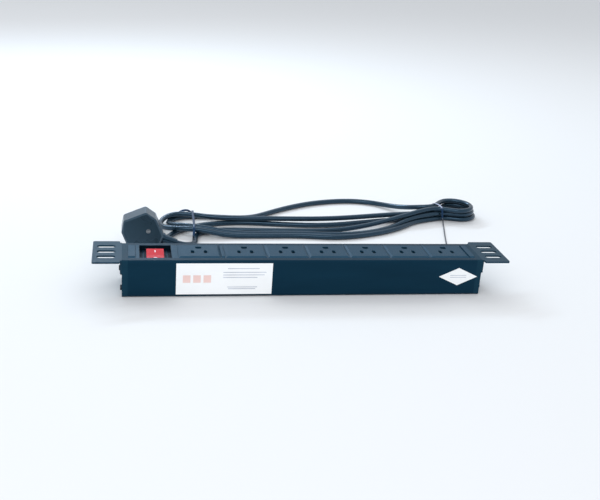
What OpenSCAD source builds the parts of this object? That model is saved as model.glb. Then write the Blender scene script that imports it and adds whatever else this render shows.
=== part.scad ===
// Rack power strip, 19 inch and 1.5 U: seven three-pin outlets in a row, a guarded rocker
// switch, an extruded channel with two end caps and two slotted ears, and a mains lead that
// is folded into a loose hank behind the body and ends in a three-pin plug.
// +X runs along the strip, +Z points out of the outlet face, and the origin is at the middle
// of the underside. Every dimension is in millimetres.

/* [Body] */
// Length over both end caps
body_len = 418; // [400:1:440]
// Width of the channel section
body_w = 56; // [52:1:60]
// Height of the channel section
body_h = 44; // [42:1:50]
// Wall of the channel
wall = 1.8; // [1.5:0.1:2.5]
// Outer corner radius of the channel
corner_r = 3; // [1:0.5:4]
// Length of each end cap
cap_len = 6.5; // [4:0.5:10]

/* [Rack ears] */
// Width over both ears
rack_w = 482.6; // [480:0.1:484]
// Height of an ear, one and a half rack units less its clearance
ear_w = 64; // [60:0.1:66.7]
// Thickness of the ear plate and its flange
ear_t = 2; // [1.5:0.1:3]
// Depth of the flange that lies on the end cap
flange_h = 16; // [12:1:20]
// Width of the flange
flange_w = 54; // [50:1:56]
// Distance between neighbouring slots
slot_pitch = 15.875; // [15.875:0.001:15.875]
// Width of a slot
slot_w = 7.4; // [6.4:0.1:7.4]
// Length of a slot from end to end
slot_len = 20.5; // [14:0.5:22]

/* [Outlets] */
// Number of outlets
outlets = 7; // [7:1:7]
// Length of one outlet module
outlet_pitch = 48.25; // [46:0.25:48.5]
// Distance between the line and neutral apertures
pin_gap = 14.6; // [14:0.1:15.5]
// Distance from the line and neutral row to the earth aperture
earth_gap = 12.8; // [11.9:0.1:13.5]
// Width of a line or neutral aperture
blade_slot_w = 4; // [3.2:0.1:4.2]
// Length of a line or neutral aperture
blade_slot_l = 8.8; // [7.5:0.1:9]
// Sideways travel of a shutter
shutter_travel = 4.6; // [4:0.1:5]

/* [Switch] */
// Length of the switch module along the strip
switch_len = 47; // [44:0.5:48]
// Width of the rocker
rocker_w = 19.6; // [18:0.2:20]
// Length of the rocker
rocker_l = 28.4; // [26:0.2:29]
// Tilt of the rocker to each side of level
rocker_tilt = 8; // [5:0.5:9]

/* [Lead and plug] */
// Diameter of the mains lead
lead_d = 7; // [6.5:0.1:8]
// Height of the folded hank
hank_h = 26; // [20:1:30]
// Width of the plug
plug_w = 45.6; // [44:0.2:50]
// Length of the plug body
plug_l = 46; // [44:0.5:47]
// Thickness of the plug body
plug_t = 26; // [22:0.5:28]
// Sideways lean of the plug where it lies
plug_lean = 22.5; // [20:0.5:24]

/* [Hidden] */

$fn = 48;
eps = 0.01;
gap = 0.2;                        // assembly gap between neighbouring modules

// Colours
dark_blue = [0.10, 0.17, 0.23];
slate = [0.22, 0.31, 0.37];
black = [0.06, 0.07, 0.08];
red = [0.85, 0.12, 0.16];
brass = [0.80, 0.62, 0.28];
steel = [0.72, 0.73, 0.75];
white = [0.95, 0.95, 0.96];

// Stations along the strip
cap_x = body_len / 2;             // outer face of an end cap
tube_x = cap_x - cap_len;         // end of the channel
last_x = 195.4;                   // end of the last outlet module
first_group_x = last_x - (outlets - 1) * outlet_pitch;   // start of outlets 2 to 7
spacer_len = 4.65;
first_outlet_x = first_group_x - spacer_len - outlet_pitch;
switch_x0 = first_outlet_x - switch_len;
switch_x = -171.9;                // middle of the rocker
function outlet_x(i) = i == 1
    ? first_outlet_x + outlet_pitch / 2
    : first_group_x + (i - 1.5) * outlet_pitch;

// Module section
opening_w = 40.4;                 // mouth of the channel
module_w = 40;                    // width of a module in the mouth
plateau_w = 33.4;                 // width of a module's raised face
plateau_h = 1.2;                  // rise of that face above the channel
end_bevel = 2.4;                  // run of the bevel at each end of that face
shoulder_w = 46;                  // width of the shoulders held under the lips
lip_z = body_h - wall;            // underside of the lips
rail_z = lip_z - 2;               // underside of the shoulders
plate_z = body_h - 1.4;           // underside of an outlet's face plate
base_w = 33;
base_z0 = 13;
base_wall = 1.6;
deck_z = 37.2;                    // underside of the deck that carries the shutter
deck_t = 1.4;
pin_y = -3.9;                     // row of line and neutral apertures
earth_y = pin_y + earth_gap;
earth_slot_w = 7;
earth_slot_l = 6.4;
clip_z0 = 18;
clip_z1 = 34;
bar_x0 = -148;                    // switch end of the busbars
wire_r = 1.2;

ear_corner_r = 2;

// Screws
screw_y = 21.5;
low_screw_z = 9.5;
high_screw_z = 33.2;
port_r = 3.2;
port_bore_r = 1.5;
screw_hole_r = 1.7;
screw_r = 1.45;
screw_head_r = 3;
cap_head_h = 1.9;                 // head of an end cap's screw
ear_head_h = 1.1;                 // low head of an ear's screw
slot_depth = 0.9;                 // of a screw's cross slot
screw_len = 13;

// Switch
tray_floor_z = 38;
tray_open = [35.8, 38.4];
switch_inner = [rocker_w + 0.6, rocker_l + 2.2];
switch_wall = 1.2;
switch_outer = [switch_inner[0] + 2 * switch_wall, switch_inner[1] + 2 * switch_wall];
switch_floor_z = 14;
pivot_z = 33.5;
pivot_r = 1.6;
running = 0.06;                   // radial play of a running fit
crease_h = 6.2;                   // rocker crease above the pivot
end_h = 6.8;                      // rocker ends above the pivot
arm_z = 22;
arm_tilt = 0.6 * rocker_tilt;
arm_x = 5.5;

// Lead: points along its stretches outside the hank
gland_x = -165;
gland_z = 22;
gland_len = 27;
lead_r = lead_d / 2;
exit_route = [
    [-165, 55, 22], [-165, 62, 21.6], [-165, 70, 19.2], [-165, 78, 13.4], [-165, 88, 6.3],
    [-164, 100, 3.6], [-163, 112, 3.6], [-161, 124, 3.6], [-158, 137, 3.6],
    [-153, 149, 3.6], [-147, 160, 3.6]];
plug_route = [
    [-116, 150, 3.6], [-116, 141, 3.6], [-117, 132, 3.9], [-121, 123, 5],
    [-128, 116, 6.8], [-136, 112, 9.2], [-144, 111, 12.4]];
lead_sides = 10;
lead_step = 2;                    // rings to each span of a route
hank_ends = [[-122, 185, 38], [70, 180, 30], [139, 274, 40], [262, 262, 41]];

// Plug: origin of its own frame, and the boot that leaves its lower corner
plug_at = [-189.5, 111, 39];
plug_top = 11.7;
boot_at = [17.4, -29];
boot_turn = -42;
boot_len = 21;
pin_row_y = -21.7;
cover_t = 15;
plug_screw_at = [8.4, -11.5];

// ---- helpers -----------------------------------------------------------------------------

// Corner arc of an outline
function arc_pts(c, r, a0, a1, n = 6) =
    [for (i = [0:n]) let (a = a0 + (a1 - a0) * i / n) [c[0] + r * cos(a), c[1] + r * sin(a)]];

// Outline with every corner rounded
function fillet(a, b, c, r, n = 5) = let (
    u = (a - b) / norm(a - b),
    v = (c - b) / norm(c - b),
    half = acos(u * v) / 2,
    centre = b + (u + v) / norm(u + v) * r / sin(half),
    from = b + u * r / tan(half),
    to = b + v * r / tan(half))
    [for (i = [0:n]) let (q = from + (to - from) * i / n - centre) centre + q / norm(q) * r];
function rounded(p, r) = let (n = len(p))
    [for (i = [0:n - 1]) each fillet(p[(i + n - 1) % n], p[i], p[(i + 1) % n], r)];

// Rectangle with rounded corners, centred
module round_rect(size, r) {
    x = size[0] / 2 - r;
    y = size[1] / 2 - r;
    polygon(concat(arc_pts([x, y], r, 0, 90), arc_pts([-x, y], r, 90, 180),
                   arc_pts([-x, -y], r, 180, 270), arc_pts([x, -y], r, 270, 360)));
}

// Extrude a section drawn as (Y, Z) along X
module along_x(x0, x1) {
    translate([x0, 0, 0]) rotate([90, 0, 90]) linear_extrude(x1 - x0) children();
}

// Extrude an outline drawn as (X, Z) along Y
module along_y(y0, y1) {
    translate([0, y1, 0]) rotate([90, 0, 0]) linear_extrude(y1 - y0) children();
}

// Box from its lowest and highest corners
module box(a, b) {
    translate(a) cube(b - a);
}

// Slot with round ends along X, cut through a plate
module slot_x(len, width, h) {
    for (s = [-1, 1]) translate([s * (len - width) / 2, 0, 0]) cylinder(d = width, h = h);
    translate([-(len - width) / 2, -width / 2, 0]) cube([len - width, width, h]);
}

// Pan-head screw along +X, its head's seat at x = 0
module pan_screw(head_h) {
    rotate([0, 90, 0]) difference() {
        union() {
            translate([0, 0, -head_h]) cylinder(r = screw_head_r, h = head_h);
            cylinder(r = screw_r, h = screw_len);
        }
        for (a = [0, 90]) rotate([0, 0, a])
            translate([-2, -0.4, -head_h - eps]) cube([4, 0.8, slot_depth]);
    }
}

// Catmull-Rom point on a route
function route_pt(p, i, t) = let (
    n = len(p) - 1,
    a = p[max(i - 1, 0)], b = p[i], c = p[min(i + 1, n)], d = p[min(i + 2, n)])
    0.5 * (2 * b + (c - a) * t + (2 * a - 5 * b + 4 * c - d) * t * t
           + (3 * b - a - 3 * c + d) * t * t * t);
function route_line(p, per) =
    [for (i = [0:len(p) - 2], s = [0:per - 1]) route_pt(p, i, s / per)];

// Round tube swept along a route
module swept_tube(route, r, sides) {
    line = concat(route_line(route, lead_step), [route[len(route) - 1]]);
    n = len(line);
    function tangent(i) = let (v = line[min(i + 1, n - 1)] - line[max(i - 1, 0)]) v / norm(v);
    rings = [for (i = [0:n - 1]) let (
                t = tangent(i),
                side = cross(t, [0, 0, 1]) / norm(cross(t, [0, 0, 1])),
                up = cross(side, t))
             for (k = [0:sides - 1])
                line[i] + r * (cos(360 * k / sides) * side + sin(360 * k / sides) * up)];
    walls = [for (i = [0:n - 2], k = [0:sides - 1]) let (q = (k + 1) % sides)
             [i * sides + k, i * sides + q, (i + 1) * sides + q, (i + 1) * sides + k]];
    start = [for (k = [sides - 1:-1:0]) k];
    end = [for (k = [0:sides - 1]) (n - 1) * sides + k];
    polyhedron(points = rings, faces = concat(walls, [start, end]));
}

// ---- channel, caps and ears --------------------------------------------------------------

module body_outline() {
    translate([0, body_h / 2]) round_rect([body_w, body_h], corner_r);
}

module screw_port(y, z) {
    side = sign(y);
    difference() {
        union() {
            translate([y, z]) circle(r = port_r);
            translate([side > 0 ? y : -body_w / 2 + wall / 2, z - 1.2])
                square([body_w / 2 - wall / 2 - screw_y, 2.4]);
        }
        translate([y, z]) circle(r = port_bore_r);
    }
}

module housing() {
    color(dark_blue) difference() {
        along_x(-tube_x, tube_x) {
            difference() {
                body_outline();
                translate([0, body_h / 2])
                    round_rect([body_w - 2 * wall, body_h - 2 * wall], corner_r - wall + 0.4);
                translate([-opening_w / 2, body_h - wall - 1]) square([opening_w, wall + 2]);
            }
            for (s = [-1, 1], z = [low_screw_z, high_screw_z]) screw_port(s * screw_y, z);
        }
        translate([gland_x, body_w / 2 + 1, gland_z]) rotate([90, 0, 0])
            cylinder(r = 6.2, h = wall + 2);
    }
}

// End cap for the +X end
module end_cap() {
    difference() {
        along_x(tube_x, cap_x) body_outline();
        along_x(tube_x - 1, cap_x - 2.5) difference() {
            translate([0, body_h / 2])
                round_rect([body_w - 2 * wall, body_h - 2 * wall], corner_r - wall + 0.4);
            for (s = [-1, 1], z = [low_screw_z, high_screw_z])
                translate([s * screw_y, z]) circle(r = port_r + 1);
        }
        for (s = [-1, 1], z = [low_screw_z, high_screw_z])
            translate([tube_x - 1, s * screw_y, z]) rotate([0, 90, 0])
                cylinder(r = screw_hole_r, h = cap_len + 2);
    }
}

module end_cap_left() color(slate) mirror([1, 0, 0]) end_cap();
module end_cap_right() color(slate) end_cap();

// Ear for the +X end: a slotted plate with a flange that lies on the end cap
module bracket() {
    slot_x0 = rack_w / 2 - 4.8 - slot_len / 2;
    bend_x = cap_x + ear_t;
    difference() {
        union() {
            translate([(bend_x + rack_w / 2) / 2, 0, body_h - ear_t]) linear_extrude(ear_t)
                round_rect([rack_w / 2 - bend_x, ear_w], ear_corner_r);
            box([cap_x, -flange_w / 2, body_h - flange_h], [bend_x, flange_w / 2, body_h]);
            box([cap_x, -flange_w / 2, body_h - ear_t],
                [bend_x + ear_corner_r, flange_w / 2, body_h]);
        }
        for (k = [-1:1]) translate([slot_x0, k * slot_pitch, body_h - ear_t - 1])
            slot_x(slot_len, slot_w, ear_t + 2);
        for (s = [-1, 1]) translate([cap_x - 1, s * screw_y, high_screw_z]) rotate([0, 90, 0])
            cylinder(r = screw_hole_r, h = ear_t + 2);
    }
}

module bracket_left() color(dark_blue) mirror([1, 0, 0]) bracket();
module bracket_right() color(dark_blue) bracket();

module end_screws(x, z, head_h) {
    for (m = [0, 1], s = [-1, 1]) mirror([m, 0, 0])
        translate([x, s * screw_y, z]) mirror([1, 0, 0]) pan_screw(head_h);
}

module end_cap_screws() color(black) end_screws(cap_x, low_screw_z, cap_head_h);
module bracket_screws() color(black) end_screws(cap_x + ear_t, high_screw_z, ear_head_h);

// ---- modules in the mouth of the channel -------------------------------------------------

// Section of a module, drawn as (Y, Z): in the mouth, and under the lips
module module_section(top) {
    w = module_w / 2;
    s = shoulder_w / 2;
    polygon([[-w, top], [-w, lip_z - gap], [-s, lip_z - gap], [-s, rail_z], [s, rail_z],
             [s, lip_z - gap], [w, lip_z - gap], [w, top]]);
}

module filler(x0, x1) {
    difference() {
        union() {
            along_x(x0 + gap / 2, x1 - gap / 2) module_section(body_h);
            along_x(x0 + 0.5, x1 - 0.5)
                polygon([[-module_w / 2 + 0.4, body_h], [-plateau_w / 2, body_h + plateau_h],
                         [plateau_w / 2, body_h + plateau_h], [module_w / 2 - 0.4, body_h]]);
        }
        along_x(x0 - 1, x1 + 1) translate([-16.5, rail_z - 1])
            square([33, plate_z - rail_z + 1]);
    }
}

module blank_filler_left() color(slate) filler(-tube_x, switch_x0);
module blank_filler_right() color(slate) filler(last_x, tube_x);
module spacer() color(slate) filler(first_group_x - spacer_len, first_group_x);

// Raised and bevelled part of an outlet's face
module plateau(len) {
    intersection() {
        along_x(-len / 2, len / 2)
            polygon([[-module_w / 2 + 0.1, body_h - eps], [-plateau_w / 2, body_h + plateau_h],
                     [plateau_w / 2, body_h + plateau_h], [module_w / 2 - 0.1, body_h - eps]]);
        along_y(-module_w / 2, module_w / 2)
            polygon([[-len / 2, body_h - eps], [-len / 2 + end_bevel, body_h + plateau_h],
                     [len / 2 - end_bevel, body_h + plateau_h], [len / 2, body_h - eps]]);
    }
}

// Apertures of an outlet: a wide earth one behind, and two blades in front
module pin_apertures(z0, z1, grow = 0) {
    for (s = [-1, 1]) translate([s * pin_gap / 2, pin_y, z0]) rotate([0, 0, 90])
        slot_x(blade_slot_l + 2 * grow, blade_slot_w + 2 * grow, z1 - z0);
    w = earth_slot_w / 2 + grow;
    l = earth_slot_l / 2 + grow;
    translate([0, earth_y, z0]) linear_extrude(z1 - z0)
        polygon(concat([[w, l - 0.6], [w - 0.6, l], [-w + 0.6, l], [-w, l - 0.6]],
                       arc_pts([-w + 2.6, -l + 2.6], 2.6, 180, 270),
                       arc_pts([w - 2.6, -l + 2.6], 2.6, 270, 360)));
}

module outlet_face(i) {
    len = outlet_pitch - gap;
    color(slate) translate([outlet_x(i), 0, 0]) difference() {
        union() {
            along_x(-len / 2, len / 2) module_section(body_h);
            plateau(len - 0.6);
        }
        box([-len / 2 - 1, -base_w / 2 - gap, rail_z - 1], [len / 2 + 1, base_w / 2 + gap, plate_z]);
        pin_apertures(plate_z - 1, body_h + plateau_h + 1);
    }
}

module outlet_base(i) {
    x = outlet_pitch / 2 - 0.4;
    y = base_w / 2;
    color(black) translate([outlet_x(i), 0, 0]) difference() {
        box([-x, -y, base_z0], [x, y, plate_z]);
        box([-x + base_wall, -y + base_wall, base_z0 + base_wall],
            [x - base_wall, y - base_wall, deck_z]);
        box([-x + base_wall, -y + base_wall, deck_z + deck_t],
            [x - base_wall, y - base_wall, plate_z + 1]);
        pin_apertures(deck_z - 1, deck_z + deck_t + 1, 0.4);
        for (yb = [-12.2, 3.5, 12.6])
            box([-x - 1, yb - 1.5, clip_z0 - 2.5], [x + 1, yb + 1.5, clip_z0 + 7.5]);
    }
}

// Shutter: a plate with two windows beside the blade apertures
module shutter(i) {
    color([0.75, 0.77, 0.80]) translate([outlet_x(i), 0, deck_z + deck_t + 0.3])
        difference() {
            box([-15.5, pin_y - 6.5, 0], [13.5, pin_y + 5.6, plate_z - deck_z - deck_t - 0.6]);
            for (s = [-1, 1])
                translate([s * pin_gap / 2 - shutter_travel, pin_y, -1]) rotate([0, 0, 90])
                    slot_x(blade_slot_l + 0.5, blade_slot_w + 0.4, 6);
        }
}

// ---- conductors --------------------------------------------------------------------------

// Strip along the outlets with one spring clip for each pin
module busbar(strip_y, clip_dx, clip_y, leaf_gap, leaf_w, x0) {
    inward = sign(clip_y - strip_y);
    box([x0, strip_y - 0.5, clip_z0], [outlet_x(outlets) + 12, strip_y + 0.5, clip_z0 + 6]);
    for (i = [1:outlets]) translate([outlet_x(i) + clip_dx, 0, 0]) {
        y_near = strip_y + inward * 0.5 - inward * eps;
        y_far = clip_y + inward * 2.8;
        box([-leaf_w / 2, min(y_near, y_far), clip_z0],
            [leaf_w / 2, max(y_near, y_far), clip_z0 + 1]);
        for (s = [-1, 1]) box([s * leaf_gap / 2 - 0.4, clip_y - 2.8, clip_z0 + 0.5],
                              [s * leaf_gap / 2 + 0.4, clip_y + 2.8, clip_z1]);
    }
}

module line_busbar() color(brass) busbar(-12.2, -pin_gap / 2, pin_y, 3, 3.8, bar_x0);
module neutral_busbar() color(brass) busbar(3.5, pin_gap / 2, pin_y, 3, 3.8, bar_x0);
module earth_busbar() color(brass) busbar(12.6, 0, earth_y - 0.6, 5.4, 6.2, bar_x0);

module wire(route) swept_tube(route, wire_r, 8);

module line_wires() color([0.45, 0.27, 0.15]) {
    wire([[gland_x - 2.6, 20.3, gland_z - 2], [gland_x - 4, 18.6, 16], [gland_x - 6, 17.8, 12.8],
          [gland_x - 9, 13, 6], [-177.4, 6.8, 4.5]]);
    wire([[-177.4, -6.8, 4.5], [-174, -11, 4.5], [-158, -12.5, 5], [-150, -12.2, 11],
          [-149.4, -12.2, 20]]);
}

module neutral_wires() color([0.15, 0.32, 0.62]) {
    wire([[gland_x + 2.6, 20.3, gland_z - 2], [gland_x + 2.2, 18.6, 16],
          [gland_x + 1, 17.8, 12.8], [gland_x - 1, 13, 6], [-166.4, 6.8, 4.5]]);
    wire([[-166.4, -6.8, 4.5], [-163, -8, 4.5], [-156, -2, 6], [-150, 3.5, 12],
          [-149.4, 3.5, 20]]);
}

module earth_wire() color([0.45, 0.62, 0.20])
    wire([[gland_x + 0.4, 20.3, gland_z + 3], [gland_x + 8, 19.5, 24], [-153, 15, 22],
          [-149.6, 12.6, 21]]);

// Earth stud on the floor of the channel
module earth_stud() color(brass) translate([-152, 10, wall]) {
    cylinder(r = 1.9, h = 5);
    translate([0, 0, 1.2]) cylinder(d = 7, h = 2.4, $fn = 6);
}

// ---- switch ------------------------------------------------------------------------------

module centred_box(size, z0, z1) {
    box([-size[0] / 2, -size[1] / 2, z0], [size[0] / 2, size[1] / 2, z1]);
}

module switch_tray() {
    mid = (switch_x0 + first_outlet_x) / 2;
    floor_under = 1.4;
    color(black) difference() {
        union() {
            along_x(switch_x0 + gap / 2, first_outlet_x - gap / 2) module_section(body_h);
            translate([switch_x, 0, 0])
                centred_box([tray_open[0] + 2.4, 40], tray_floor_z - floor_under, body_h - 0.5);
        }
        translate([switch_x, 0, 0]) {
            centred_box(tray_open, tray_floor_z, body_h + 1);
            centred_box([switch_outer[0] + 0.4, switch_outer[1] + 0.4], 30, body_h);
        }
        for (side = [[switch_x0 - 1, switch_x - tray_open[0] / 2 - 1.2],
                     [switch_x + tray_open[0] / 2 + 1.2, first_outlet_x + 1]])
            box([side[0], -16.5, rail_z - 1], [side[1], 16.5, plate_z]);
    }
}

module switch_housing() {
    color(black) translate([switch_x, 0, 0]) difference() {
        union() {
            centred_box(switch_outer, switch_floor_z, tray_floor_z + 0.8);
            centred_box([switch_outer[0] + 3.2, switch_outer[1] + 3.2],
                        tray_floor_z, tray_floor_z + 0.8);
        }
        centred_box(switch_inner, switch_floor_z + 1.4, tray_floor_z + 2);
        for (z = [[pivot_z, pivot_r], [arm_z, 1.2]])
            translate([-switch_outer[0] / 2 - 1, 0, z[0]]) rotate([0, 90, 0])
                cylinder(r = z[1] + running, h = switch_outer[0] + 2);
        for (s = [-1, 1], y = [-8, 8])
            box([s * arm_x - 3.4, y - 0.6, switch_floor_z - 1],
                [s * arm_x + 3.4, y + 0.6, switch_floor_z + 2]);
    }
}

// Side outline of the rocker about its pivot, as (Y, Z)
module rocker_outline(inset) {
    l = rocker_l / 2 - inset;
    polygon([[0, crease_h - inset], [l, end_h - inset], [l + 0.3, -1 - 2 * inset],
             [-l - 0.3, -1 - 2 * inset], [-l, end_h - inset]]);
}

// Rocker with its "off" end pressed
module rocker() {
    color(red) translate([switch_x, 0, pivot_z]) rotate([rocker_tilt, 0, 0]) {
        difference() {
            along_x(-rocker_w / 2, rocker_w / 2) rocker_outline(0);
            along_x(-rocker_w / 2 + 1.4, rocker_w / 2 - 1.4) rocker_outline(1.5);
        }
        for (s = [-1, 1]) {
            translate([s * (rocker_w / 2 - 1), 0, 0]) rotate([0, s * 90, 0])
                cylinder(r = pivot_r, h = 2);
            box([s * arm_x - 1, -1.2, -9.2], [s * arm_x + 1, 1.2, crease_h - 1]);
        }
    }
}

module indicator_lamp() {
    color([0.95, 0.6, 0.3]) translate([switch_x, 0, pivot_z]) rotate([rocker_tilt, 0, 0])
        translate([-3.2, 6.2, 2.2]) rotate([0, 90, 0]) cylinder(r = 2, h = 6.4);
}

module contact_shaft() {
    color(white) translate([switch_x, 0, arm_z]) rotate([0, 90, 0])
        translate([0, 0, -switch_inner[0] / 2 - 1]) cylinder(r = 1.2, h = switch_inner[0] + 2);
}

module contact_arms() {
    color(brass) translate([switch_x, 0, arm_z]) rotate([-arm_tilt, 0, 0])
        for (s = [-1, 1]) translate([s * arm_x, 0, 0]) difference() {
            union() {
                box([-2, -10, -0.5], [2, 10, 0.5]);
                rotate([0, 90, 0]) translate([0, 0, -2]) cylinder(r = 1.6, h = 4);
            }
            rotate([0, 90, 0]) translate([0, 0, -3]) cylinder(r = 1.2, h = 6);
        }
}

module switch_terminals() {
    color(brass) translate([switch_x, 0, 0]) for (s = [-1, 1], y = [-8, 8])
        box([s * arm_x - 3.1, y - 0.4, 5.8], [s * arm_x + 3.1, y + 0.4, arm_z - 2.6]);
}

// ---- labels ------------------------------------------------------------------------------

module rating_label() {
    color(white) box([-149.5, -body_w / 2 - 0.2, 3.2], [-41, -body_w / 2, 40.8]);
}

module diamond_sticker() {
    color(white) along_y(-body_w / 2 - 0.2, -body_w / 2)
        translate([180.8, 23.4]) polygon([[-23.6, 0], [0, -11], [23.6, 0], [0, 11]]);
}

// ---- lead --------------------------------------------------------------------------------

// Strain relief through the back wall, along +Y
module cord_gland() {
    color(black) translate([gland_x, body_w / 2, gland_z]) rotate([-90, 0, 0]) difference() {
        union() {
            cylinder(r = 9, h = 5);
            translate([0, 0, 5]) cylinder(r1 = 7.4, r2 = 4.6, h = gland_len - 5);
            translate([0, 0, -6]) cylinder(r = 6, h = 7);
        }
        translate([0, 0, -7]) cylinder(r = lead_r, h = gland_len + 8);
    }
}

module gland_nut() {
    color(steel) translate([gland_x, body_w / 2 - wall - 3, gland_z]) rotate([-90, 0, 0])
        difference() {
            cylinder(d = 18, h = 3, $fn = 6);
            translate([0, 0, -1]) cylinder(r = 6, h = 5);
        }
}

module exit_cord() color(black) swept_tube(exit_route, lead_r, lead_sides);
module plug_cord() color(black) swept_tube(plug_route, lead_r, lead_sides);

// Outer shape of the folded lead where it lies
module cord_hank() {
    color(black) linear_extrude(hank_h) hull()
        for (e = hank_ends) translate([e[0], e[1]]) circle(r = e[2], $fn = 32);
}

// ---- plug --------------------------------------------------------------------------------

// Plug frame: x across, y towards the earth end, z out of the cover
module in_plug() {
    translate(plug_at) rotate([0, -plug_lean, 0]) rotate([90, 0, 0]) children();
}

module plug_outline(inset = 0) {
    w = plug_w / 2 - inset;
    top = plug_top - inset;
    low = plug_top - plug_l + inset;
    polygon(rounded([[w - 8 + inset, top], [-w + 8 - inset, top], [-w, top - 13], [-w, low + 9],
                     [-w + 6, low], [w - 9, low], [w, low + 9], [w, top - 13]], 4 - inset / 2));
}

module plug_base() {
    color(black) in_plug() difference() {
        translate([0, 0, -plug_t / 2]) linear_extrude(plug_t - cover_t) plug_outline();
        translate([0, 0, -plug_t / 2 + 2.4]) linear_extrude(plug_t) plug_outline(2.4);
        pin_holes();
    }
    color(black) in_plug() translate([plug_screw_at[0], plug_screw_at[1], -plug_t / 2 + 2])
        difference() {
            cylinder(r = 3.4, h = plug_t - cover_t - 2);
            translate([0, 0, 2]) cylinder(r = 1.6, h = plug_t);
        }
}

module plug_cover() {
    color(slate) in_plug() difference() {
        union() {
            translate([0, 0, plug_t / 2 - cover_t]) linear_extrude(cover_t - 2) plug_outline();
            hull() {
                translate([0, 0, plug_t / 2 - 2]) linear_extrude(eps) plug_outline();
                translate([0, 0, plug_t / 2 - eps]) linear_extrude(eps) plug_outline(1.8);
            }
        }
        translate([0, 0, plug_t / 2 - cover_t - 1]) linear_extrude(cover_t - 1.4)
            plug_outline(2.4);
        translate([plug_screw_at[0], plug_screw_at[1], 0]) {
            cylinder(r = 1.6, h = plug_t);
            translate([0, 0, plug_t / 2 - 1.2]) cylinder(r = 3, h = 3);
        }
    }
}

// Rectangular pins: earth at the top, line and neutral below
module pin_blocks(grow, z0, z1) {
    for (p = [[0, 0.5, 4, 8, 5], [-11.1, pin_row_y, 6.35, 4, 0], [11.1, pin_row_y, 6.35, 4, 0]])
        translate([p[0] - p[2] / 2 - grow, p[1] - p[3] / 2 - grow, -plug_t / 2 - z0 - p[4] * z1])
            cube([p[2] + 2 * grow, p[3] + 2 * grow, z0 + p[4] * z1 + 9 - 20 * grow]);
}

module pin_holes() pin_blocks(0.1, 1, 0);
module plug_pins() color(brass) in_plug() pin_blocks(0, 17.7, 1);

module plug_fuse() {
    color(white) in_plug() translate([15.8, -17, 0]) rotate([-90, 0, 0])
        cylinder(d = 6.3, h = 16);
}

module plug_screw() {
    color(steel) in_plug() translate([plug_screw_at[0], plug_screw_at[1], 0]) difference() {
        union() {
            translate([0, 0, -7]) cylinder(r = 1.5, h = plug_t / 2 + 6);
            translate([0, 0, plug_t / 2 - 1.2]) cylinder(r = 2.8, h = 1.1);
        }
        translate([-2, -0.4, plug_t / 2 - 0.6]) cube([4, 0.8, 2]);
    }
}

// Tapered boot at the lower corner of the plug
module plug_boot() {
    color(black) in_plug() translate([boot_at[0], boot_at[1], 0]) rotate([0, 0, boot_turn])
        rotate([0, 90, 0]) difference() {
            union() {
                translate([0, 0, 0]) cylinder(r = 7, h = 4);
                translate([0, 0, 4]) cylinder(r1 = 6, r2 = 4.6, h = boot_len - 4);
            }
            translate([0, 0, 3]) cylinder(r = lead_r, h = boot_len);
        }
}

// ---- assembly ----------------------------------------------------------------------------

housing();
end_cap_left();
end_cap_right();
bracket_left();
bracket_right();
end_cap_screws();
bracket_screws();
blank_filler_left();
blank_filler_right();
spacer();
switch_tray();
switch_housing();
rocker();
indicator_lamp();
contact_shaft();
contact_arms();
switch_terminals();
for (i = [1:outlets]) {
    outlet_face(i);
    outlet_base(i);
    shutter(i);
}
line_busbar();
neutral_busbar();
earth_busbar();
line_wires();
neutral_wires();
earth_wire();
earth_stud();
rating_label();
diamond_sticker();
cord_gland();
gland_nut();
exit_cord();
cord_hank();
plug_cord();
plug_boot();
plug_base();
plug_cover();
plug_pins();
plug_fuse();
plug_screw();
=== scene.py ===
"""Rack power strip with its mains lead folded behind it, on a pale studio floor."""
import math

import bmesh
import bpy
from mathutils import Matrix, Vector


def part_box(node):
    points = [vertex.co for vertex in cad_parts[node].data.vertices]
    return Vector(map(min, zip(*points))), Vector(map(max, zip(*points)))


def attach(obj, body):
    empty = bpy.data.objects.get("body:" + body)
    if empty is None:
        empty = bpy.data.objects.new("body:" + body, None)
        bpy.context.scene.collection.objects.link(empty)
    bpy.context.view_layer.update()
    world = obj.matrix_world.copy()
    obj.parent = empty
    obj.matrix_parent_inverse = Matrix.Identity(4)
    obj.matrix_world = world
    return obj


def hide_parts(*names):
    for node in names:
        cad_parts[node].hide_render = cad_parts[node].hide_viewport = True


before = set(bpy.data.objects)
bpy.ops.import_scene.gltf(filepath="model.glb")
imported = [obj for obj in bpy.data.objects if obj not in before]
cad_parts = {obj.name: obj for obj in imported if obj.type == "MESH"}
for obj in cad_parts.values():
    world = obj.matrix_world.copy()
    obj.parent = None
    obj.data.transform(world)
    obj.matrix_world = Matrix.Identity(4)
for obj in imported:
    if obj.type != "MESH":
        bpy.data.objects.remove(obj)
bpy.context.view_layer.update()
MM = 0.001
STRIP = "strip"

# ---- camera ---------------------------------------------------------------------------------
CAMERA_AT = (-204.0, -981.8, 433.8)     # mm
CAMERA_YAW = 11.42                      # degrees, to the right of +Y
CAMERA_PITCH = 21.17                    # degrees, downwards
CAMERA_ROLL = 4.23                      # degrees
LENS = 55.46                            # mm
SENSOR = 36                             # mm
VIEW_END = 20                           # metres

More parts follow.
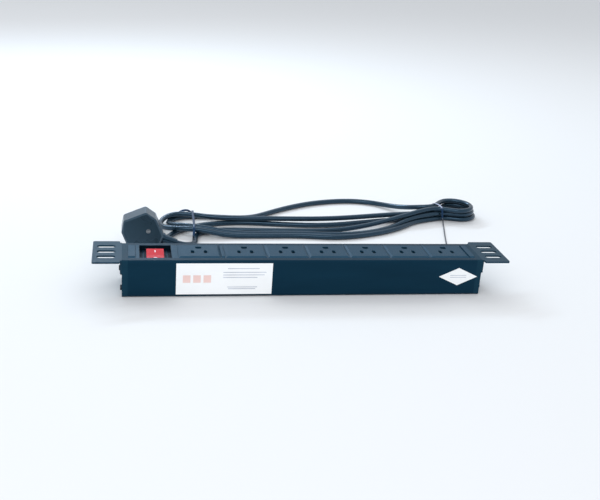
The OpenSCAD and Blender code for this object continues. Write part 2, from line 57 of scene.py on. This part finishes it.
# ---- mains lead, in mm: the CAD's two routes, with the folded hank between them -------------
LEAD_D = 7.0
CURVE_ORDER = 4                         # of the smooth curves that cords and wires follow
CURVE_STEPS = 6                         # drawn between two of a curve's points
BEVEL_RESOLUTION = 4                    # gives a cord twelve sides
FROM_BODY = [
    (-165, 55, 22), (-165, 62, 21.6), (-165, 70, 19.2), (-165, 78, 13.4), (-165, 88, 6.3),
    (-164, 100, 3.6), (-163, 112, 3.6), (-161, 124, 3.6), (-158, 137, 3.6),
    (-153, 149, 3.6), (-147, 160, 3.6)]
PASS_1 = [
    (-138, 174, 3.6), (-123, 188, 3.6), (-100, 201, 3.6), (-70, 209, 3.6), (-42, 211, 3.6),
    (-9, 206, 3.6), (32, 201, 3.6), (67, 200, 3.6), (106, 208, 3.6), (153, 222, 3.6),
    (201, 230, 3.6), (222, 235, 3.6)]
PASS_2 = [
    (224, 227, 3.6), (200, 217, 3.6), (178, 195, 3.6), (148, 175, 3.6),
    (110, 160, 3.6), (78, 153, 3.6), (50, 156, 3.6), (24, 160, 3.6), (-16, 159, 3.6),
    (-56, 158, 3.6), (-78, 158, 5), (-96, 159, 9), (-114, 161, 11.4)]
FOLD_LEFT_WIDE = [
    (-134, 164, 11.4), (-152, 173, 8.5), (-161, 191, 5.5), (-157, 210, 8), (-143, 222, 10.8)]
PASS_3 = [
    (-126, 224, 10.9), (-106, 217, 10.9), (-85, 209, 10.8), (-44, 207, 10.8), (-9, 207, 10.8),
    (34, 206, 10.8), (76, 208, 10.8), (118, 216, 10.8), (160, 226, 10.8), (201, 232, 10.8),
    (221, 235, 10.8)]
PASS_4 = [
    (222, 227, 10.8), (196, 217, 10), (172, 200, 5), (149, 184, 3.6),
    (117, 170, 3.6), (90, 164, 3.6), (61, 165, 3.6), (31, 168, 3.6), (0, 168, 3.6),
    (-28, 167, 3.6), (-56, 167, 3.6), (-78, 168, 6), (-96, 170, 9.6), (-114, 173, 10.9)]
FOLD_LEFT_NARROW = [
    (-132, 178, 10.8), (-146, 190, 7.5), (-150, 207, 3.6), (-142, 223, 3.6), (-127, 233, 3.6)]
PASS_5 = [
    (-108, 236, 3.6), (-88, 233, 3.6), (-62, 229, 3.6), (-36, 229, 3.6), (-18, 240, 3.6),
    (6, 260, 3.6), (33, 279, 3.6), (64, 296, 3.6), (97, 306, 3.6), (129, 310, 3.6),
    (158, 303, 3.8), (178, 286, 5), (192, 267, 9), (204, 252.5, 13.5), (218, 243.5, 17.2)]
PASS_6 = [
    (214, 226.5, 17.6), (186, 214, 14.5), (142, 198, 8), (98, 185, 4.2),
    (63, 178, 3.6), (33, 178, 3.6), (7, 178, 3.6), (-23, 179, 3.6), (-53, 180, 3.6),
    (-76, 181, 3.6), (-96, 177, 3.6), (-110, 167, 3.6)]
TO_PLUG = [
    (-116, 153, 3.6), (-116, 141, 3.6), (-117, 132, 3.9), (-121, 123, 5),
    (-128, 116, 6.8), (-136, 112, 9.2), (-144, 111, 12.4)]
FOLD_GAP = 8                            # between the two strands of a fold where they are tied
FOLD_SPANS = 8                          # stretches of curve round a fold's circle
FOLD_LOW = {"tie": (243, 238), "axis": 22, "radius": 24.0, "height": 3.6}
FOLD_MIDDLE = {"tie": (241, 238), "axis": 22, "radius": 23.6, "height": 10.8}
FOLD_HIGH = {"tie": (232, 239), "axis": 14, "radius": 25.2, "height": 17.9}


# ---- helpers --------------------------------------------------------------------------------
def mm(*point):
    """A point given in millimetres, in metres."""
    return Vector(point) * MM


def link(name, data):
    obj = bpy.data.objects.new(name, data)
    bpy.context.collection.objects.link(obj)
    return obj


def tube(name, points, radius, mat):
    """A round cord along points in millimetres, as one smooth open spline."""
    curve = bpy.data.curves.new(name, "CURVE")
    curve.dimensions = "3D"
    spline = curve.splines.new("NURBS")
    spline.points.add(len(points) - 1)
    for target, point in zip(spline.points, points):
        target.co = (*mm(*point), 1)
    spline.order_u = CURVE_ORDER
    spline.use_endpoint_u = True
    spline.resolution_u = CURVE_STEPS
    curve.bevel_depth = radius * MM
    curve.bevel_resolution = BEVEL_RESOLUTION
    curve.use_fill_caps = True
    curve.materials.append(mat)
    return link(name, curve)


def fold(tie, axis, radius, height):
    """Points of a loop of lead that leaves its tie on one side and comes back on the other.

    Each strand flares away from the other, and then both meet in one circle. The loop lies flat
    at its height, and its axis is turned from +X towards +Y by so many degrees.
    """
    flare = radius + FOLD_GAP / 2
    reach = math.sqrt((2 * radius) ** 2 - flare ** 2)
    lean = math.atan2(reach, flare)
    out = [(radius * math.sin(t), flare - radius * math.cos(t)) for t in (0, lean / 2)]
    sweep = math.pi / 2 + lean
    loop = []
    for i in range(FOLD_SPANS + 1):
        angle = sweep * (1 - 2 * i / FOLD_SPANS)
        loop.append((reach + radius * math.cos(angle), radius * math.sin(angle)))
    back = [(u, -v) for u, v in reversed(out)]
    heading = math.radians(axis)
    return [(tie[0] + u * math.cos(heading) - v * math.sin(heading),
             tie[1] + u * math.sin(heading) + v * math.cos(heading), height)
            for u, v in out + loop + back]


def mesh_object(name, bm, mat, smooth=False):
    """An object of the bmesh, in one material."""
    mesh = bpy.data.meshes.new(name)
    bmesh.ops.recalc_face_normals(bm, faces=bm.faces)
    bm.to_mesh(mesh)
    bm.free()
    for face in mesh.polygons:
        face.use_smooth = smooth
    mesh.materials.append(mat)
    return link(name, mesh)


def boxes_object(name, boxes, mat):
    """Closed boxes in mm, each given by its lowest and highest corner, as one object."""
    bm = bmesh.new()
    for low, high in boxes:
        made = bmesh.ops.create_cube(bm, size=1)
        for vert in made["verts"]:
            vert.co = mm(*[low[k] if vert.co[k] < 0 else high[k] for k in range(3)])
    return mesh_object(name, bm, mat)


# ---- camera and lead come first -------------------------------------------------------------
def make_camera():
    data = bpy.data.cameras.new("camera")
    data.sensor_width = SENSOR
    data.lens = LENS
    data.clip_end = VIEW_END
    camera = link("camera", data)
    yaw = Matrix.Rotation(math.radians(-CAMERA_YAW), 4, "Z")
    pitch = Matrix.Rotation(math.radians(90 - CAMERA_PITCH), 4, "X")
    roll = Matrix.Rotation(math.radians(CAMERA_ROLL), 4, "Z")
    camera.matrix_world = Matrix.Translation(mm(*CAMERA_AT)) @ yaw @ pitch @ roll
    bpy.context.scene.camera = camera


def make_lead(mat):
    """The lead from the gland to the plug's boot, in six passes behind the body."""
    route = (FROM_BODY + PASS_1 + fold(**FOLD_LOW) + PASS_2 + FOLD_LEFT_WIDE
             + PASS_3 + fold(**FOLD_MIDDLE) + PASS_4 + FOLD_LEFT_NARROW
             + PASS_5 + fold(**FOLD_HIGH) + PASS_6 + TO_PLUG)
    lead = tube("mains_lead", route, LEAD_D / 2, mat)
    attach(lead, STRIP)
    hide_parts("exit_cord", "cord_hank", "plug_cord")


# ---- materials ------------------------------------------------------------------------------
MOTTLE_RAMP = (0.3, 0.7)                # stretch of the noise over which the colour changes
GLOSS_SPREAD = 0.06                     # how far the roughness varies to each side
MIRROR_LIMIT = 0.02                     # the least roughness
CLOUD_DETAIL = 4
GRAIN_DETAIL = 3
GRAIN_DEPTH = 0.0002                    # metres


def material(name, colour, roughness, grain, grain_scale, mottle, mottle_scale=40,
             metallic=0, coat=0, specular=0.5, shine=(1, 1, 1), streak=(1, 1, 1)):
    """A surface with fine grain in its height and gentle mottling in colour and gloss.

    shine is the tint of its sheen, and streak stretches the noise along an axis, as an
    extrusion shows it.
    """
    mat = bpy.data.materials.new(name)
    mat.use_nodes = True
    nodes = mat.node_tree.nodes
    links = mat.node_tree.links
    shader = nodes["Principled BSDF"]
    shader.inputs["Metallic"].default_value = metallic
    shader.inputs["Coat Weight"].default_value = coat
    shader.inputs["Specular IOR Level"].default_value = specular
    shader.inputs["Specular Tint"].default_value = (*shine, 1)
    place = nodes.new("ShaderNodeTexCoord")
    mapping = nodes.new("ShaderNodeMapping")
    mapping.inputs["Scale"].default_value = streak
    links.new(place.outputs["Object"], mapping.inputs["Vector"])
    cloud = nodes.new("ShaderNodeTexNoise")
    cloud.inputs["Scale"].default_value = mottle_scale
    cloud.inputs["Detail"].default_value = CLOUD_DETAIL
    links.new(mapping.outputs["Vector"], cloud.inputs["Vector"])
    tint = nodes.new("ShaderNodeValToRGB")
    for end, position, factor in zip(tint.color_ramp.elements, MOTTLE_RAMP, (1 - mottle, 1 + mottle)):
        end.position = position
        end.color = (*[min(1, c * factor) for c in colour], 1)
    links.new(cloud.outputs["Fac"], tint.inputs["Fac"])
    links.new(tint.outputs["Color"], shader.inputs["Base Color"])
    gloss = nodes.new("ShaderNodeMapRange")
    gloss.inputs["To Min"].default_value = max(MIRROR_LIMIT, roughness - GLOSS_SPREAD)
    gloss.inputs["To Max"].default_value = min(1, roughness + GLOSS_SPREAD)
    links.new(cloud.outputs["Fac"], gloss.inputs["Value"])
    links.new(gloss.outputs["Result"], shader.inputs["Roughness"])
    fine = nodes.new("ShaderNodeTexNoise")
    fine.inputs["Scale"].default_value = grain_scale
    fine.inputs["Detail"].default_value = GRAIN_DETAIL
    links.new(mapping.outputs["Vector"], fine.inputs["Vector"])
    bump = nodes.new("ShaderNodeBump")
    bump.inputs["Strength"].default_value = grain
    bump.inputs["Distance"].default_value = GRAIN_DEPTH
    links.new(fine.outputs["Fac"], bump.inputs["Height"])
    links.new(bump.outputs["Normal"], shader.inputs["Normal"])
    return mat


COOL = (0.15, 0.5, 1.0)                 # tint of the sheen on the blue-black surfaces
M = {
    "body": material(
        "body_paint", (0.0045, 0.024, 0.043), roughness=0.42, grain=0.25, grain_scale=1500,
        mottle=0.10, mottle_scale=60, specular=0.14, shine=COOL, streak=(0.15, 1, 1)),
    "cap": material(
        "cap_plastic", (0.008, 0.034, 0.056), roughness=0.5, grain=0.5, grain_scale=1400,
        mottle=0.08, specular=0.14, shine=COOL),
    "bracket": material(
        "bracket_paint", (0.015, 0.042, 0.064), roughness=0.45, grain=0.5, grain_scale=1100,
        mottle=0.10, specular=0.2, shine=COOL),
    "face": material(
        "face_plastic", (0.012, 0.047, 0.080), roughness=0.46, grain=0.6, grain_scale=1800,
        mottle=0.06, specular=0.2, shine=COOL),
    "black": material(
        "black_plastic", (0.003, 0.009, 0.016), roughness=0.55, grain=0.5, grain_scale=1500,
        mottle=0.08, specular=0.12, shine=COOL),
    "screw": material(
        "black_steel", (0.010, 0.018, 0.028), roughness=0.35, grain=0.3, grain_scale=900,
        mottle=0.1, specular=0.3),
    "red": material(
        "red_plastic", (0.54, 0.005, 0.018), roughness=0.34, grain=0.05, grain_scale=900,
        mottle=0.05, specular=0.1),
    "white": material(
        "print_white", (0.85, 0.72, 0.76), roughness=0.4, grain=0.1, grain_scale=900,
        mottle=0.03),
    "shutter": material(
        "shutter_plastic", (0.010, 0.018, 0.028), roughness=0.5, grain=0.4,
        grain_scale=1200, mottle=0.05, specular=0.12, shine=COOL),
    "brass": material(
        "brass", (0.78, 0.52, 0.20), roughness=0.25, grain=0.2, grain_scale=900,
        mottle=0.08, metallic=1.0),
    "steel": material(
        "zinc_steel", (0.60, 0.62, 0.64), roughness=0.28, grain=0.2, grain_scale=900,
        mottle=0.08, metallic=1.0),
    "lead": material(
        "cord_rubber", (0.004, 0.014, 0.023), roughness=0.24, grain=0.2, grain_scale=1600,
        mottle=0.15, mottle_scale=70, specular=0.9, shine=(0.4, 0.68, 1.0)),
    "plug": material(
        "plug_plastic", (0.024, 0.046, 0.064), roughness=0.28, grain=0.3, grain_scale=1500,
        mottle=0.10, specular=0.8, shine=(0.45, 0.7, 1.0)),
    "label": material(
        "label_film", (0.93, 0.95, 0.96), roughness=0.35, grain=0.15, grain_scale=500,
        mottle=0.02),
    "ink": material(
        "label_ink", (0.50, 0.54, 0.62), roughness=0.5, grain=0.1, grain_scale=900,
        mottle=0.2),
    "salmon": material(
        "label_salmon", (0.86, 0.62, 0.58), roughness=0.5, grain=0.1, grain_scale=900,
        mottle=0.06),
    "tie": material(
        "tie_film", (0.008, 0.030, 0.08), roughness=0.3, grain=0.2, grain_scale=900,
        mottle=0.15, specular=0.4, shine=(0.4, 0.65, 1.0)),
    # a pale copy of the dark tie colour: painted highlight where light falls on the top of the right
    # tie; the piece running down its side keeps the dark tie colour
    "tie_painted_highlight": material(
        "tie_painted_highlight", (0.36, 0.42, 0.58), roughness=0.35, grain=0.2, grain_scale=900,
        mottle=0.1),
    "wire": material(
        "tie_wire", (0.07, 0.08, 0.10), roughness=0.4, grain=0.2, grain_scale=900,
        mottle=0.1),
    "lamp": material(
        "lamp_glass", (0.9, 0.5, 0.3), roughness=0.1, grain=0.05, grain_scale=900,
        mottle=0.02, coat=0.5),
    "fuse": material(
        "fuse_ceramic", (0.75, 0.75, 0.72), roughness=0.4, grain=0.1, grain_scale=900,
        mottle=0.03),
    "brown": material(
        "brown_pvc", (0.10, 0.035, 0.015), roughness=0.4, grain=0.1, grain_scale=900,
        mottle=0.05),
    "blue": material(
        "blue_pvc", (0.02, 0.08, 0.35), roughness=0.4, grain=0.1, grain_scale=900,
        mottle=0.05),
    "green": material(
        "green_pvc", (0.15, 0.35, 0.03), roughness=0.4, grain=0.1, grain_scale=900,
        mottle=0.3, mottle_scale=200),
}
NODE_MATERIAL = {
    "housing": "body", "end_cap": "cap", "bracket_left": "bracket", "bracket_right": "bracket",
    "end_cap_screws": "screw", "bracket_screws": "screw", "blank_filler": "face",
    "spacer": "face", "switch_tray": "face", "switch_housing": "black", "rocker": "red",
    "indicator_lamp": "lamp", "contact_shaft": "fuse", "contact_arms": "brass",
    "switch_terminals": "brass", "outlet_face": "face", "outlet_base": "black",
    "shutter": "shutter", "line_busbar": "brass", "neutral_busbar": "brass",
    "earth_busbar": "brass", "line_wires": "brown", "neutral_wires": "blue",
    "earth_wire": "green", "earth_stud": "brass", "rating_label": "label",
    "diamond_sticker": "label", "cord_gland": "lead", "gland_nut": "steel",
    "plug_boot": "lead", "plug_base": "plug", "plug_cover": "plug", "plug_pins": "brass",
    "plug_fuse": "fuse", "plug_screw": "steel",
}


def colour_nodes():
    """Give every CAD node the surface of the longest name here that it starts with.

    The three nodes that the lead replaces have none.
    """
    for name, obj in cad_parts.items():
        keys = [k for k in NODE_MATERIAL if name.startswith(k)]
        if not keys:
            continue
        chosen = M[NODE_MATERIAL[max(keys, key=len)]]
        for slot in obj.material_slots:
            slot.material = chosen


# ---- ties -----------------------------------------------------------------------------------
TIE_T = 0.9                             # thickness of a tie, mm
TIE_SMOOTHING = 2                       # subdivision levels
LEFT_TIE_W = 3.4
LEFT_TAIL_R = 1.5
RIGHT_TIE_W = 3.2
RIGHT_TIE_LOW_W = 3.0
RIGHT_TAIL_R = 0.8
LEFT_TIE = [
    (-113, 238, 1.0), (-113, 241, 5), (-113.5, 238, 9), (-114.5, 229, 14.6), (-115, 216, 15.6),
    (-115.5, 196, 15.4), (-116, 178, 15.6), (-116.5, 162, 16), (-117, 156, 13),
    (-117.5, 153, 6), (-118, 148, 1.2), (-119, 138, 0.7), (-120, 126, 0.7)]
LEFT_TAIL = [
    (-112.5, 243, 3), (-114.5, 243, 5.4), (-117.5, 243, 8.2), (-121, 243, 9.6),
    (-125.5, 243, 9.4), (-130, 243, 7.4), (-134, 243, 4.8), (-137.5, 243, 1.6)]
RIGHT_TIE = [
    (236.5, 254, 11), (237.5, 253.5, 17), (239, 250, 21.6), (241.5, 243, 22.9),
    (244.5, 235, 22.8), (246, 229.5, 20)]
RIGHT_TIE_LOW = [
    (245.8, 230, 20.6), (246.4, 228, 15), (246.8, 227.6, 9), (247.6, 228, 3)]
RIGHT_TAIL = [
    (247.4, 228, 6), (248.2, 226, 2.2), (247, 221, 0.9), (243, 207, 0.9), (239, 192, 0.9),
    (232, 168, 0.9), (226, 144, 0.9), (221.5, 126, 0.9)]


def ribbon(name, points, width, mat):
    """A thin flat tie that follows points in mm, its width along X."""
    side = Vector((1, 0, 0))
    bm = bmesh.new()
    rows = []
    for i, point in enumerate(points):
        before = Vector(points[max(i - 1, 0)])
        after = Vector(points[min(i + 1, len(points) - 1)])
        normal = (after - before).cross(side).normalized()
        rows.append([bm.verts.new((Vector(point) + s * width / 2 * side
                                   + t * TIE_T / 2 * normal) * MM)
                     for s, t in ((-1, -1), (1, -1), (1, 1), (-1, 1))])
    for a, b in zip(rows, rows[1:]):
        for k in range(4):
            bm.faces.new((a[k], a[(k + 1) % 4], b[(k + 1) % 4], b[k]))
    bm.faces.new(rows[0])
    bm.faces.new(reversed(rows[-1]))
    obj = mesh_object(name, bm, mat, smooth=True)
    soften = obj.modifiers.new("smooth", "SUBSURF")
    soften.levels = TIE_SMOOTHING
    soften.render_levels = TIE_SMOOTHING
    return obj


def make_ties():
    """The two ties round the folded lead, each with its loose tail."""
    ties = [tube("tie_right_tail", RIGHT_TAIL, RIGHT_TAIL_R, M["wire"]),
            tube("tie_left_tail", LEFT_TAIL, LEFT_TAIL_R, M["tie"]),
            ribbon("tie_left", LEFT_TIE, LEFT_TIE_W, M["tie"]),
            # the top of the right tie carries the painted highlight
            ribbon("tie_right", RIGHT_TIE, RIGHT_TIE_W, M["tie_painted_highlight"]),
            ribbon("tie_right_low", RIGHT_TIE_LOW, RIGHT_TIE_LOW_W, M["tie"])]
    for piece in ties:
        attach(piece, STRIP)


# ---- lining of the switch's recess, and prints, in mm -----------------------------------------
SWITCH_X = -171.9
ROCKER_PIVOT_Z = 33.5
ROCKER_TILT = 8                         # degrees
ROCKER_CREASE = 6.2                     # height of the rocker's crease above its pivot
ROCKER_CLIMB = 0.6 / 14.2               # rise of its face for each mm away from the crease
RECESS = (17.85, 19.15)                 # half the recess's length and width
SWITCH_RIM = (13.8, 18.3)               # half the size of the switch's own rim, with clearance
RECESS_Z = (38.05, 43.9)
SKIN = 0.3                              # thickness of the lining
ON_MARK = (0.6, 2.2)                    # half the stroke's width and length
ON_MARK_Y = 8.6                         # from the crease
ON_MARK_Z = (-0.02, 0.08)               # from the rocker's face
OFF_MARK = (2.3, 0.55)                  # radius of the ring, and of its line
OFF_MARK_Y = -7.6
OFF_MARK_FLATNESS = 0.15
RING_SEGMENTS = (28, 8)
PRINT_DEPTH = (0.05, 0.02)              # of a bar, before and behind its label's face
BLOCK_X = (-142, -130.5, -119)          # left edges of the blocks in place of a word
BLOCK_W = 8.5
BLOCK_Z = (17.5, 26.5)
LABEL_BARS = ((34, -92, -56), (29.4, -97, -48), (26.3, -97, -50), (23.2, -97, -58),
              (11.5, -92, -58), (9.4, -91, -60))    # lower edge, left end, right end
LABEL_BAR_H = 0.9
STICKER_X = 180.8
STICKER_BARS_Z = (24.6, 22.2)
STICKER_BAR = (10, 0.8)                 # half a bar's length, and its height


def slabs(name, boxes, mat):
    """Closed boxes in mm as one piece that rides on the strip."""
    piece = boxes_object(name, boxes, mat)
    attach(piece, STRIP)


def make_recess():
    """Thin black walls and a floor inside the tray, round the switch: black for the recess's own dark
    floor, and painted shade on the walls, which lie in shadow.
    """
    x, y = RECESS
    rim_x, rim_y = SWITCH_RIM
    z0, z1 = RECESS_Z
    walls = []
    for s in (-1, 1):
        a, b = sorted((s * x, s * (x - SKIN)))
        walls.append(((SWITCH_X + a, -y, z0), (SWITCH_X + b, y, z1)))
        a, b = sorted((s * y, s * (y - SKIN)))
        walls.append(((SWITCH_X - x + SKIN, a, z0), (SWITCH_X + x - SKIN, b, z1)))
        a, b = sorted((s * rim_x, s * (x - SKIN)))
        walls.append(((SWITCH_X + a, -y + SKIN, z0), (SWITCH_X + b, y - SKIN, z0 + SKIN)))
        a, b = sorted((s * rim_y, s * (y - SKIN)))
        walls.append(((SWITCH_X - rim_x, a, z0), (SWITCH_X + rim_x, b, z0 + SKIN)))
    # black lining: the recess's black floor, and painted shade on its walls
    slabs("recess_lining", walls, M["black"])


def put_on_rocker(piece, y):
    """Put a mark made about the origin on the rocker's face, y mm from its crease."""
    tilt = Matrix.Rotation(math.radians(ROCKER_TILT), 4, "X")
    slope = Matrix.Rotation(math.copysign(math.atan(ROCKER_CLIMB), y), 4, "X")
    pivot = Matrix.Translation(mm(SWITCH_X, 0, ROCKER_PIVOT_Z))
    rise = Matrix.Translation(mm(0, y, ROCKER_CREASE + abs(y) * ROCKER_CLIMB))
    piece.data.transform(pivot @ tilt @ rise @ slope)
    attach(piece, "rocker")


def make_rocker_marks():
    """A stroke and a ring printed on the rocker's two halves."""
    x, y = ON_MARK
    low, high = ON_MARK_Z
    stroke = boxes_object("rocker_on_mark", [((-x, -y, low), (x, y, high))], M["white"])
    put_on_rocker(stroke, ON_MARK_Y)
    radius, line = OFF_MARK
    around, across = RING_SEGMENTS
    bpy.ops.mesh.primitive_torus_add(major_segments=around, minor_segments=across,
                                     major_radius=radius * MM, minor_radius=line * MM)
    ring = bpy.context.object
    ring.name = "rocker_off_mark"
    ring.data.materials.append(M["white"])
    ring.data.transform(Matrix.Diagonal((1, 1, OFF_MARK_FLATNESS, 1)))
    put_on_rocker(ring, OFF_MARK_Y)


def bars(name, rows, mat):
    """Printed bars (x0, x1, z0, z1) on the front face, just proud of the label."""
    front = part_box("rating_label")[0][1] / MM
    before, behind = PRINT_DEPTH
    boxes = [((x0, front - before, z0), (x1, front + behind, z1)) for x0, x1, z0, z1 in rows]
    slabs(name, boxes, mat)


def make_prints():
    """Plain blocks and bars where the real label and sticker have text."""
    bars("label_blocks", [(x, x + BLOCK_W, *BLOCK_Z) for x in BLOCK_X], M["salmon"])
    bars("label_lines", [(x0, x1, z, z + LABEL_BAR_H) for z, x0, x1 in LABEL_BARS], M["ink"])
    half, height = STICKER_BAR
    bars("sticker_lines", [(STICKER_X - half, STICKER_X + half, z, z + height)
                           for z in STICKER_BARS_Z], M["ink"])


# ---- studio, in metres ------------------------------------------------------------------------
FLOOR_SIZE = 30
FLOOR_Z = -0.0002
FLOOR_COLOUR = (0.80, 0.81, 0.82, 1)
FLOOR_ROUGHNESS = 0.9
FLOOR_SPECULAR = 0.1
SKY_COLOUR = (0.93, 0.96, 1.0, 1)
SKY_STRENGTH = 0.79


def make_floor():
    bpy.ops.mesh.primitive_plane_add(size=FLOOR_SIZE, location=(0, 0, FLOOR_Z))
    floor = bpy.context.object
    floor.name = "studio_floor"
    mat = bpy.data.materials.new("studio_floor")
    mat.use_nodes = True
    shader = mat.node_tree.nodes["Principled BSDF"]
    shader.inputs["Base Color"].default_value = FLOOR_COLOUR
    shader.inputs["Roughness"].default_value = FLOOR_ROUGHNESS
    shader.inputs["Specular IOR Level"].default_value = FLOOR_SPECULAR
    floor.data.materials.append(mat)


def area_light(name, at, look_at, size, power, colour):
    """A soft rectangular light, its power in watts."""
    data = bpy.data.lights.new(name, "AREA")
    data.shape = "RECTANGLE"
    data.size, data.size_y = size
    data.energy = power
    data.color = colour
    lamp = link(name, data)
    lamp.location = at
    lamp.rotation_euler = (Vector(look_at) - Vector(at)).to_track_quat("-Z", "Y").to_euler()


def make_light():
    """A soft sky, a key from behind, a fill from the front and a strip for the lead's sheen."""
    world = bpy.data.worlds.new("studio")
    world.use_nodes = True
    back = world.node_tree.nodes["Background"]
    back.inputs["Color"].default_value = SKY_COLOUR
    back.inputs["Strength"].default_value = SKY_STRENGTH
    bpy.context.scene.world = world
    area_light("key", at=(0.2, 1.4, 1.9), look_at=(0, 0.1, 0), size=(2.4, 1.2),
               power=11, colour=(0.92, 0.96, 1.0))
    area_light("fill", at=(-0.5, -1.7, 1.5), look_at=(0, 0, 0), size=(2.0, 1.2),
               power=17, colour=(1.0, 0.98, 0.97))
    area_light("strip", at=(-0.55, 1.25, 0.95), look_at=(-0.1, 0.18, 0), size=(1.1, 0.1),
               power=9, colour=(0.72, 0.87, 1.0))


make_camera()
make_lead(M["lead"])
colour_nodes()
make_ties()
make_recess()
make_rocker_marks()
make_prints()
make_floor()
make_light()
bpy.context.scene.view_settings.view_transform = "Standard"
